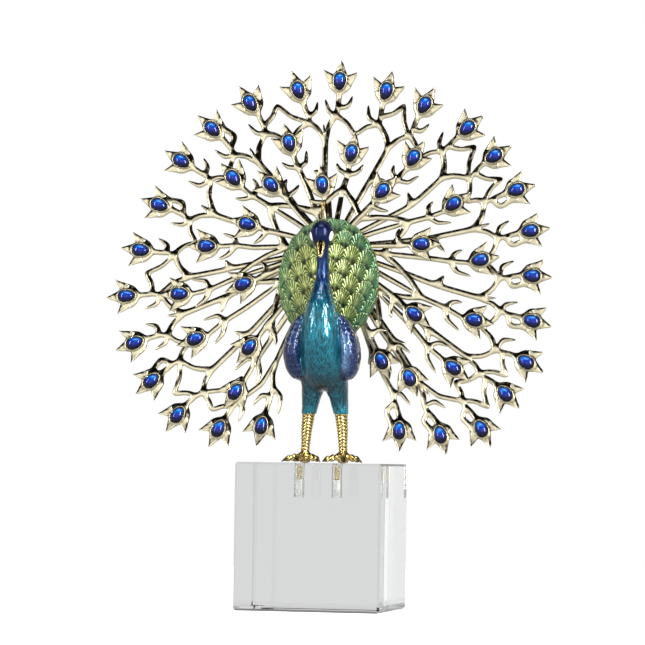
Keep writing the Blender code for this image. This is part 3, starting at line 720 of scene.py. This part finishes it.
def crest(gold):
    """Five thin gold plume shafts in the head's middle plane, each with a small fan at its end."""
    foot = face_point(0.985, 0.078)
    reach = np.linspace(0, 0.078 * BIRD_HEIGHT, 8)
    radius = np.linspace(0.55, 0.32, 8) * MM
    fan = np.array((0.7, 1.3, 1.7)) * MM
    shafts, tips = [], []
    for angle in np.linspace(-0.5, 0.5, 5) * radians(34):
        ahead = np.array((0.0, -sin(angle), cos(angle)))
        side = np.array((0.0, cos(angle), sin(angle)))
        centre = foot + reach[:, None] * ahead
        shafts.append(capped(circles(centre, np.array((1.0, 0, 0)), side, radius, 8)))
        tips.append(ball(centre[-1] + ahead * 0.6 * MM, fan, 0.0, 8, 12))
    stalks = piece("crest_shafts", shafts, gold)
    weigh(stalks.data, "oxide_and_shade", np.full(len(stalks.data.vertices), 0.55))
    fans = piece("crest_fans", tips, gold)
    weigh(fans.data, "oxide_and_shade", np.full(len(fans.data.vertices), 0.35))
    return stalks, fans


# Plate of scale feathers


def shield_back(z):
    """The plate's back leans with the tail."""
    return SHIELD_SETBACK + FAN_LEAN * (z - TOP - RING_RISE)


SCALE_LENGTH = 10.0 * MM
SCALE_WIDTH = 10.8 * MM
SCALE_STEP = 0.85 * MM
RIB_HEIGHT = 0.26 * MM
BEAD_HEIGHT = 0.10 * MM
FAN_RIBS = 6
# Height of the point that the scale feathers grow from
GROWTH = TOP + SHIELD_RISE - 0.75 * SHIELD_HEIGHT


def feather_shield(enamel):
    """An oval dome of fan-shaped scale feathers that radiate from a point low behind the neck.

    The front is a grid of radius by angle over a faintly scalloped oval; its height adds to the
    dome a step that rises to each scale's tip, the ribs of its fan and a bead along its edge.
    """
    rings, spokes = 128, 540
    share = np.linspace(0, 1, rings)[:, None]
    t = np.linspace(0, 2 * pi, spokes, endpoint=False)[None, :]
    rim = 1 + 0.010 * np.cos(22 * t)
    x = share * rim * SHIELD_WIDTH / 2 * np.sin(t)
    z = TOP + SHIELD_RISE + share * rim * SHIELD_HEIGHT / 2 * np.cos(t)
    flat_x, flat_z = x.ravel(), z.ravel()
    height = scale_feathers(flat_x, flat_z, np.broadcast_to(share, x.shape).ravel())[0]
    dome = SHIELD_RIM + SHIELD_DOME * (1 - share ** 2)
    y = shield_back(z) - dome - height.reshape(x.shape) * ramp(share, 1.0, 0.985)
    front = np.stack([x, y, z], axis=-1)
    behind = np.stack([x[-1], shield_back(z[-1]), z[-1]], axis=-1)
    middle = np.array((0, shield_back(TOP + SHIELD_RISE), TOP + SHIELD_RISE))
    back = np.stack([behind, mix(behind, middle, 0.5), np.broadcast_to(middle, behind.shape)])
    grid = np.concatenate([front, back])
    plate = piece("scale_feathers", [shell(grid)], enamel)
    corners = points_of(plate.data)
    rise = corners[:, 2] - TOP - SHIELD_RISE
    across = np.hypot(2 * corners[:, 0] / SHIELD_WIDTH, 2 * rise / SHIELD_HEIGHT)
    _, colours, gloss = scale_feathers(corners[:, 0], corners[:, 2], across)
    weigh(plate.data, "gloss", gloss)
    behind = corners[:, 1] > shield_back(corners[:, 2]) - 0.4 * MM
    paint(plate.data, "paint", np.where(behind[:, None], linear("#C9BC86"), colours))
    return plate


def scale_feathers(x, z, across):
    """Height in metres, colour and gloss of the scale feathers at places on the plate.

    Rows are rings about the point of growth. A scale's ribs are a cosine of the place across
    its fan, which narrows towards its root; across says how near the rim of the plate it is.
    """
    radius = np.hypot(x, z - GROWTH)
    angle = np.arctan2(x, z - GROWTH)

    def across_of_row(row):
        """Place across in scale widths: rows further out hold more scales."""
        count = max(5, round(2 * pi * (row + 0.6) * SCALE_LENGTH / SCALE_WIDTH))
        return angle / (2 * pi) * count + 0.5 * (row % 2) + 60

    back, side, cell = overlapping_scales(radius / SCALE_LENGTH, across_of_row, 12, 0.36)
    fan = side / (0.30 + 0.70 * np.clip(1 - back, 0, 1))
    ribs = 0.5 + 0.5 * np.cos(pi * FAN_RIBS * fan)
    back = back + 0.07 * (1 - ribs)
    quill = np.exp(-(side / 0.16) ** 2) * ramp(back, 0.35, 0.6)
    bead = np.exp(-(back / 0.10) ** 2)
    open_part = ramp(back, 1.0, 0.7)
    height = SCALE_STEP * (1 - np.clip(back, 0, 1.2)) + RIB_HEIGHT * ribs * open_part
    height += BEAD_HEIGHT * bead + RIB_HEIGHT * quill

    # Green leaves to jade at the rim, with pale ribs, gilt tips and painted shade in the gaps; the ribs
    # are painted paler towards -X as painted light
    leaf, lime, jade = linear("#3A6618"), linear("#7E9A34"), linear("#0B7A56")
    pale, gold = linear("#C8D080"), linear("#D2C078")
    outer = ramp(across + 0.25 * (jitter(cell, 7) - 0.5), 0.60, 0.92)
    colour = blend_colours(leaf, lime, 0.75 * jitter(cell, 11) * ramp(back, 1.0, 0.2))
    colour = blend_colours(colour, jade, outer)
    # Pale ribs, painted paler still on the -X side as painted light
    pale_ribs_and_light = mix(0.85, 0.50, ramp(x, -20 * MM, 10 * MM)) * (1 - 0.60 * outer)
    colour = blend_colours(colour * 0.40, pale, pale_ribs_and_light * ribs ** 1.3 * open_part)
    colour = blend_colours(colour, pale, 0.7 * pale_ribs_and_light * quill)
    colour = blend_colours(colour, gold, 0.45 * bead * ribs)
    # Painted shade: darkened at each scale's low root under the row before, and at its tip edge between
    # the ribs
    gap = np.maximum(ramp(back, 0.85, 1.10), ramp(back, 0.06, 0.0) * (1 - ribs))
    return height, colour * (1 - 0.72 * gap)[:, None], 0.3 + 0.5 * ribs


# Tail castings, flowers and stones

# Width of the band along a petal's edge that the painted shade can take
EDGE_BAND = 1.5 * MM
# Share by which a stone is wider at its outer end, and narrower at its stem, than an ellipse
PEAR_SWELL = 0.16


def stone_seat(name):
    """Centre, sideways, outward and facing directions of a stone's seat, read from its solid.

    The solid's foremost corner is the dome's apex, a plane fitted to its base gives the way it
    faces, and the base corner furthest from the middle is its narrow end.
    """
    corners = points_of(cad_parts[name].data)
    apex = corners[corners[:, 1].argmin()]
    base = corners[corners[:, 1] > apex[1] + 0.68 * STONE_HEIGHT]
    slope = np.linalg.lstsq(np.c_[np.ones(len(base)), base[:, [0, 2]]], base[:, 1], rcond=None)[0]
    centre = np.array((apex[0], slope @ (1, apex[0], apex[2]), apex[2]))
    facing = np.array((slope[1], -1.0, slope[2]))
    facing /= np.linalg.norm(facing)
    arms = (base - centre) * (1, 0, 1)
    narrow = arms[np.linalg.norm(arms, axis=1).argmax()]
    outward = -narrow - (-narrow @ facing) * facing
    outward /= np.linalg.norm(outward)
    return centre, np.cross(facing, outward), outward, facing


def set_down(template, seat):
    """Corners given sideways, outwards and forwards, put in place on a seat."""
    corners, faces = template
    centre, *axes = seat
    return centre + corners @ np.array(axes), faces


def pear(t):
    """Outline of a stone: an ellipse widened at its outer end and drawn in at its stem."""
    across = STONE_WIDTH / 2 * np.sin(t) * (1 + PEAR_SWELL * np.cos(t))
    return across, STONE_LENGTH / 2 * np.cos(t)


def turned_pear(profile, sides):
    """Rings of the pear outline scaled and raised by a profile of (scale, added width, height)."""
    t = np.linspace(0, 2 * pi, sides, endpoint=False)
    across, along = pear(t)
    length = np.hypot(across, along)
    grid = [np.stack([across * (s + add / length), along * (s + add / length), np.full(sides, h)], 1)
            for s, add, h in profile]
    return shell(np.array(grid))


def petal(base, tip, half_width, lift):
    """A pointed leaf: oval sections along a straight way, hollowed in front and curling forward.

    Returns its shell and, for each corner, how far across the leaf it is, as a flat vector.
    """
    rows, sides = 10, 14
    s = np.linspace(0, 1, rows)[:, None]
    t = np.linspace(0, 2 * pi, sides, endpoint=False)[None, :]
    base, tip = np.array(base), np.array(tip)
    ahead = (tip - base) / np.linalg.norm(tip - base)
    side = np.array((ahead[1], -ahead[0]))
    width = half_width * (1 - s) ** 1.05 * (1 + 0.10 * np.sin(pi * s)) + 0.18 * MM
    thick = mix(1.05 * MM, 0.45 * MM, s)
    middle = np.exp(-(np.cos(t) / 0.42) ** 2) * (np.sin(t) > 0)
    hollow = 1 - 0.62 * middle * np.sin(pi * np.clip(s * 0.9 + 0.1, 0, 1))
    across = width * np.cos(t)
    height = thick * np.sin(t) * hollow + lift * s ** 2 - 0.5 * MM
    place = base + (tip - base) * s[..., None] + side * across[..., None]
    grid = np.concatenate([place, np.broadcast_to(height, across.shape)[..., None]], axis=-1)
    near_edge = np.clip(1 - width * (1 - np.abs(np.cos(t))) / EDGE_BAND, 0, 1) * np.sign(np.cos(t))
    lean = side * near_edge[[0, *range(rows), -1]][..., None]
    return capped(grid), lean.reshape(-1, 2)


def pear_rings(profile, sides):
    """Rings of a flower's cup or bezel as a shell, with the flat vector of each corner's lean."""
    across, along = pear(np.linspace(0, 2 * pi, sides, endpoint=False))
    outwards = np.stack([across, along], 1) / np.hypot(across, along)[:, None]
    lean = np.array([lean * outwards for *_, lean in profile])
    return turned_pear([row[:3] for row in profile], sides), lean.reshape(-1, 2)


def flower_template():
    """A three-petalled flower: cup, bezel and petals, sideways, outwards and forwards of a stone."""
    w, h = FLOWER_WIDTH, FLOWER_HEIGHT
    cup = pear_rings([(0.0, 0, 0.35 * MM, 0), (0.94, 0, 0.35 * MM, 0), (1.0, 0, 0.25 * MM, 0),
                      (1.0, 0.35 * MM, 0.25 * MM, 0), (1.0, 0.85 * MM, 0.35 * MM, 0.1),
                      (1.0, 1.2 * MM, 0.45 * MM, 0.3), (1.0, 1.7 * MM, -0.1 * MM, 0.8),
                      (1.0, 1.5 * MM, -1.3 * MM, 1.0), (0.9, 0, -1.9 * MM, 0), (0.0, 0, -1.9 * MM, 0)], 24)
    turn = np.linspace(0, 2 * pi, 9)
    bead = pear_rings([(1.0, (0.52 + 0.30 * cos(a)) * MM, (0.95 + 0.65 * sin(a)) * MM, 0.1 * cos(a))
                       for a in turn], 24)
    petals = [petal((0.0, 0.14 * h), (0.0, 0.66 * h), 0.205 * w, 1.0 * MM)]
    petals += [petal((side * 0.19 * w, -0.01 * h), (side * 0.50 * w, 0.33 * h), 0.175 * w, 1.0 * MM)
               for side in (-1, 1)]
    shells, leans = zip(cup, bead, *petals)
    return joined(shells), np.vstack(leans)


# Edges longer than this are halved first, and then those longer than each casting's own limit
FIRST_CUT = 8 * MM
LONGEST_EDGE = {"inner": 4 * MM, "middle": 4 * MM, "outer": 5.5 * MM}
# What easing takes off a strand's skin and is put back with the plate's thickness, along X, Y and Z
STRAND_FILL = np.array((1.12, 0.40, 1.12)) * MM
# The three numbers below set how far the painted shade reaches over the upper edges
# A flat strand's edge normals lean half way, and this makes them a full lean
EDGE_GAIN = 1.4
# A petal's lean is full at its very edge only, so it is raised more
PETAL_GAIN = 1.9
# The dished castings turn their low strands' faces up, so each metre above the hub adds to the lean
DISH_LEAN = 1.5


def painted_shade_lean(directions):
    """How far directions lean to the side that takes painted shade: up, somewhat to both sides, more to
    the right.
    """
    return directions[:, 2] + 0.25 * directions[:, 0] + 0.38 * np.abs(directions[:, 0])


def shaded_edge(lean):
    """Painted shade along the upper edge of a strand or petal, from how far its corners lean to the dark
    side.
    """
    return ramp(lean, 0.20, 0.46)


def stone_ring_shade(corners, seats):
    """A dark ring in the gap between each stone and its bezel, and painted shade round the bezel's outer
    side, heavier above.
    """
    oxide_and_shade = np.zeros(len(corners))
    for centre, sideways, outward, facing in seats:
        local = corners - centre
        along = local @ outward / (STONE_LENGTH / 2)
        across = local @ sideways / (STONE_WIDTH / 2) / (1 + PEAR_SWELL * np.clip(along, -1, 1))
        ratio = np.hypot(across, along)
        above = ramp(local[:, 2], -4 * MM, 2 * MM)
        gap = np.exp(-((ratio - 1.0) / 0.075) ** 2) + (0.6 + above) * np.exp(-((ratio - 1.27) / 0.08) ** 2)
        oxide_and_shade = np.maximum(oxide_and_shade, gap * (np.abs(local @ facing) < 3 * MM))
    return oxide_and_shade


def tail_piece(ring, seats, gold):
    """A casting: its web of strands rounded by subdivision, with a modelled flower on each seat."""
    bm = bmesh.new()
    bm.from_mesh(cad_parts[ring + "_tail"].data)
    bmesh.ops.remove_doubles(bm, verts=bm.verts, dist=1e-5)
    bmesh.ops.join_triangles(bm, faces=bm.faces, angle_face_threshold=radians(25),
                             angle_shape_threshold=radians(150))
    for limit in (FIRST_CUT, LONGEST_EDGE[ring]):
        long_edges = [edge for edge in bm.edges if edge.calc_length() > limit]
        bmesh.ops.subdivide_edges(bm, edges=long_edges, cuts=1, use_grid_fill=True)
    mesh = bpy.data.meshes.new(ring + "_strands")
    bm.to_mesh(mesh)
    bm.free()

    # The lean towards the painted shade is taken from the flat strands, and rounding them spreads it
    # smoothly
    web = show(ring + "_tail_casting", mesh, gold)
    rise = points_of(mesh)[:, 2] - TOP - RING_RISE
    weigh(mesh, "lean", EDGE_GAIN * painted_shade_lean(normals_of(mesh)) + DISH_LEAN * rise)
    easing = web.modifiers.new("easing", "SMOOTH")
    easing.factor, easing.iterations = 0.4, 2
    mesh = apply_modifiers(web)
    move_points(mesh, points_of(mesh) + normals_of(mesh) * STRAND_FILL)
    rounding = web.modifiers.new("rounding", "SUBSURF")
    rounding.levels = rounding.render_levels = 2
    mesh = apply_modifiers(web)
    # Painted shade: dark upper edges from the lean, and the side walls darkened a little
    side_wall_shade = ramp(np.abs(normals_of(mesh)[:, 1]), 0.35, 0.05)
    weigh(mesh, "oxide_and_shade", np.clip(shaded_edge(weights_of(mesh, "lean")) + 0.20 * side_wall_shade, 0, 1))

    flower, lean = flower_template()
    shells = [set_down(flower, seat) for seat in seats]
    # Painted shade along the petals' upper edges, and dark rings round the stones with painted shade above
    # them
    shade = [shaded_edge(PETAL_GAIN * painted_shade_lean(lean @ np.array(seat[1:3]))) for seat in seats]
    gaps = stone_ring_shade(joined(shells)[0], seats)
    flowers = piece("flowers", shells, gold, oxide_and_shade=np.clip(np.concatenate(shade) + gaps, 0, 1))
    mesh.attributes.remove(mesh.attributes["lean"])

    bm = bmesh.new()
    bm.from_mesh(mesh)
    bm.from_mesh(flowers.data)
    bm.to_mesh(mesh)
    bm.free()
    bpy.data.objects.remove(flowers)
    mesh.shade_smooth()
    return web


def stone_template():
    """A smooth pear-shaped dome with a flat back."""
    a = np.linspace(0, pi / 2, 9)[::-1]
    dome = [(0.96 * cos(b), 0, STONE_HEIGHT * (0.12 + 0.78 * sin(b))) for b in a]
    return turned_pear(dome + [(0.96, 0, 0.0), (0.0, 0, 0.0)], 30)


def jewels(seats, names, glass):
    """One blue stone on each seat, with painted light: azure on its upper half, navy below, and navy
    painted round the rim as shade.
    """
    dome = stone_template()
    azure, royal, navy = linear("#0F70DC"), linear("#0A217E"), linear("#060824")
    made = []
    for name, seat in zip(names, seats):
        stone = piece(name + "_cabochon", [set_down(dome, seat)], glass)
        centre, _, _, facing = seat
        local = points_of(stone.data) - centre
        rise = local[:, 2] / (STONE_LENGTH / 2)
        height = local @ facing / STONE_HEIGHT
        # Painted light on the upper half, and painted shade low down and round the rim
        colour = blend_colours(navy, royal, ramp(rise, -0.55, 0.15))
        colour = blend_colours(colour, azure, ramp(rise, 0.05, 0.65))
        paint(stone.data, "paint", blend_colours(colour, navy, 0.85 * ramp(height, 0.80, 0.45)))
        made.append(stone)
    return made


def adhesive_plugs(clear):
    """The clear adhesive that fills each hole round its pin: upright cylinders that wet the walls."""
    wetting = 0.02 * MM
    radius = HOLE_DIAMETER / 2 + wetting
    low, high = TOP - HOLE_DEPTH - wetting, TOP - 0.4 * MM
    rows = [[(side * STANCE / 2, LEG_SETBACK, z, radius, radius) for z in (low, high)] for side in (-1, 1)]
    plugs = piece("adhesive_plugs", [lofted(pair, 40) for pair in rows], clear)
    plugs.data.set_sharp_from_angle(angle=radians(40))
    return plugs


def bubbles(clear):
    """Air bubbles in the clear adhesive round each pin, against the wall or floor of its hole."""
    draw = np.random.default_rng(4)
    shells = []
    for side in (-1, 1):
        for _ in range(9):
            radius = draw.uniform(0.30, 0.85) * MM
            turn = draw.uniform(0, 2 * pi)
            out = HOLE_DIAMETER / 2 - radius - 0.1 * MM
            height = TOP - draw.uniform(0.35, 1.0) * (HOLE_DEPTH - 1.2 * MM)
            centre = (side * STANCE / 2 + out * cos(turn), LEG_SETBACK + out * sin(turn), height)
            shells.append(ball(centre, (radius,) * 3, 0.0, 8, 12))
    return piece("adhesive_bubbles", shells, clear)


# Studio


def area_light(name, place, size, power):
    """A soft box in watts, turned to the middle of the bird."""
    data = bpy.data.lights.new(name, "AREA")
    data.shape = "RECTANGLE"
    data.size, data.size_y = size
    data.energy = power
    lamp = bpy.data.objects.new(name, data)
    bpy.context.scene.collection.objects.link(lamp)
    ahead = np.array((0, 0, 0.2)) - place
    lamp.location = place
    lamp.rotation_euler = Vector(ahead).to_track_quat("-Z", "Y").to_euler()


def pale_floor():
    """Matt white board: white to the eye and a shade greyer in what it lights."""
    material, tree, shader = new_material("pale_floor", Base_Color=rgba("#D2D2D2"), Roughness=0.95,
                                          Specular_IOR_Level=0.1, Emission_Color=rgba("#FFFFFF"))
    ray = node(tree, "ShaderNodeLightPath")
    glow = node(tree, "ShaderNodeMapRange", Value=ray.outputs["Is Camera Ray"], To_Min=0.28, To_Max=1.0)
    tree.links.new(glow.outputs["Result"], shader.inputs["Emission Strength"])
    return material


# Place from the wall behind the camera, 0, to the wall behind the bird, 1, and its tone there
WALL_TONES = [(0.0, 1.0), (0.014, 1.0), (0.036, 0.42), (0.5, 0.48), (0.85, 0.515), (1.0, 0.515)]
# Height of a direction, 0 level and 1 straight up, and the share of the wall's tone there
CEILING_TONES = [(0.0, 1.0), (0.30, 1.0), (0.48, 0.05), (0.86, 0.05), (0.95, 1.0), (1.0, 1.0)]
ROOM_STRENGTH = 1.30


def studio():
    """A pale floor and white walls with a dark band high up, and soft boxes left, right and above.

    The eye sees plain white. Only light and reflections meet the walls' tones, by how far a
    direction points behind the bird and by how far up.
    """
    world = bpy.data.worlds.new("studio")
    bpy.context.scene.world = world
    world.use_nodes = True
    tree = world.node_tree
    spot = node(tree, "ShaderNodeTexCoord")
    way = node(tree, "ShaderNodeSeparateXYZ", Vector=spot.outputs["Generated"])
    facing = node(tree, "ShaderNodeMapRange", Value=way.outputs["Y"], From_Min=-1.0, From_Max=1.0)
    greys = []
    for place, tones in ((way.outputs["Z"], CEILING_TONES), (facing.outputs["Result"], WALL_TONES)):
        curve = node(tree, "ShaderNodeValToRGB", Fac=place)
        stops = curve.color_ramp.elements
        stops[0].position, stops[1].position = tones[0][0], tones[-1][0]
        for position, _ in tones[1:-1]:
            stops.new(position)
        for stop, (_, tone) in zip(stops, tones):
            stop.color = (tone, tone, tone, 1)
        greys.append(curve.outputs["Color"])
    room = node(tree, "ShaderNodeMath", {"operation": "MULTIPLY"}, in0=greys[0], in1=greys[1])
    lit = node(tree, "ShaderNodeBackground", Color=room.outputs["Value"], Strength=ROOM_STRENGTH)
    backdrop = tree.nodes["Background"]
    backdrop.inputs["Color"].default_value = (1, 1, 1, 1)
    ray = node(tree, "ShaderNodeLightPath")
    shown = node(tree, "ShaderNodeMixShader", in0=ray.outputs["Is Camera Ray"],
                 in1=lit.outputs["Background"], in2=backdrop.outputs["Background"])
    tree.links.new(shown.outputs["Shader"], tree.nodes["World Output"].inputs["Surface"])

    board = np.array([[(-1, -1, 0), (1, -1, 0)], [(-1, 1, 0), (1, 1, 0)]]) - (0, 0, 0.2 * MM)
    floor = piece("floor", [shell(board, wrap=False)], pale_floor())
    floor.visible_transmission = floor.visible_glossy = False
    area_light("left_box", (-1.20, -1.15, 0.65), (0.14, 1.2), 13)
    area_light("right_box", (1.12, -1.25, 0.63), (0.30, 1.2), 42)
    area_light("top_box", (0.0, -0.7, 1.5), (0.9, 0.4), 9)


def camera():
    """The photograph's view: level with the cube's top, from the bird's left, with the frame raised."""
    data = bpy.data.cameras.new("camera")
    data.lens = data.sensor_width * LENS_PIXELS / FRAME_SIDE
    data.shift_y = (HORIZON_ROW - FRAME_SIDE / 2) / FRAME_SIDE
    view = bpy.data.objects.new("camera", data)
    bpy.context.scene.collection.objects.link(view)
    stand = (CAMERA_DISTANCE * sin(CAMERA_TURN), -CAMERA_DISTANCE * cos(CAMERA_TURN), CUBE_SIDE)
    view.matrix_world = (Matrix.Translation(stand) @ Matrix.Rotation(CAMERA_TURN, 4, "Z")
                         @ Matrix.Rotation(pi / 2, 4, "X") @ Matrix.Rotation(CAMERA_ROLL, 4, "Z"))
    bpy.context.scene.camera = view


def dress(thing, slot, *nodes):
    """Tie a piece to the body and hide the solids that it stands for; its slot is not used."""
    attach(thing, BODY)
    if nodes:
        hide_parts(*nodes)


def main():
    """The camera and studio, then every finish, then every piece with what it stands for."""
    camera()
    studio()
    # Enamel over long upright cuts: deep blue with thin streaks painted bright as highlights, under a wet
    # shine
    plumage = basse_taille_enamel("basse_taille_enamel_blue", (0.75, 0.75, 8.5), 0.25, 2.7)
    # Enamel over ribbed scales: green that drifts a little in tone
    leafage = basse_taille_enamel("basse_taille_enamel_green", (2.4, 2.4, 2.4), 0.70, 1.35)
    # Pale plate: soft cream gloss, with near-black painted shade along its upper edges and round the
    # stones
    pale_gold = gold_plate("champagne_gold_plate", "#F0E6C4", "#0C0804", 0.32, 3.0)
    # Warm plate with brown left in its grooves: every ring of the shanks stands out
    rich_gold = gold_plate("antique_gold_plate", "#E6CD86", "#24180A", 0.25, 1.2)
    # Domed glass over foil: a blue upper half painted as lit, and one sharp highlight
    glass = foiled_glass("foiled_sapphire_glass")
    # Water-clear block: bends the white room into grey faces and bright sides
    crystal = optical_crystal("polished_optical_crystal", "#F9FAFA")
    # Hardly warmer than the block, so the holes show only by their edges
    adhesive = optical_crystal("clear_adhesive", "#FBFBF6")
    # Fired enamel, hard and glossy: bare skin at the cheeks, and the beads of the eyes
    white = plain_gloss("white_enamel", "#E8E6DC", 0.2)
    black = plain_gloss("black_enamel", "#08080A", 0.08)

    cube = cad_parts["crystal_cube"].data
    cube.materials.clear()
    cube.materials.append(crystal)
    dress(adhesive_plugs(adhesive), "optical_crystal")
    dress(bubbles(crystal), "optical_crystal")
    dress(peacock(plumage, rich_gold), "blue_green_enamel", "peacock")
    dress(beak(rich_gold), "blue_green_enamel")
    for thing in (*eyes(white, black), *crest(rich_gold)):
        dress(thing, "blue_green_enamel")
    dress(feather_shield(leafage), "green_enamel", "feather_shield")
    for ring in ("inner", "middle", "outer"):
        names = sorted(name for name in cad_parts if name.startswith(ring + "_stone_"))
        seats = [stone_seat(name) for name in names]
        dress(tail_piece(ring, seats, pale_gold), "pale_gold_plate", ring + "_tail")
        for name, stone in zip(names, jewels(seats, names, glass)):
            dress(stone, "sapphire_glass", name)
    bpy.context.scene.view_settings.view_transform = "Standard"


main()
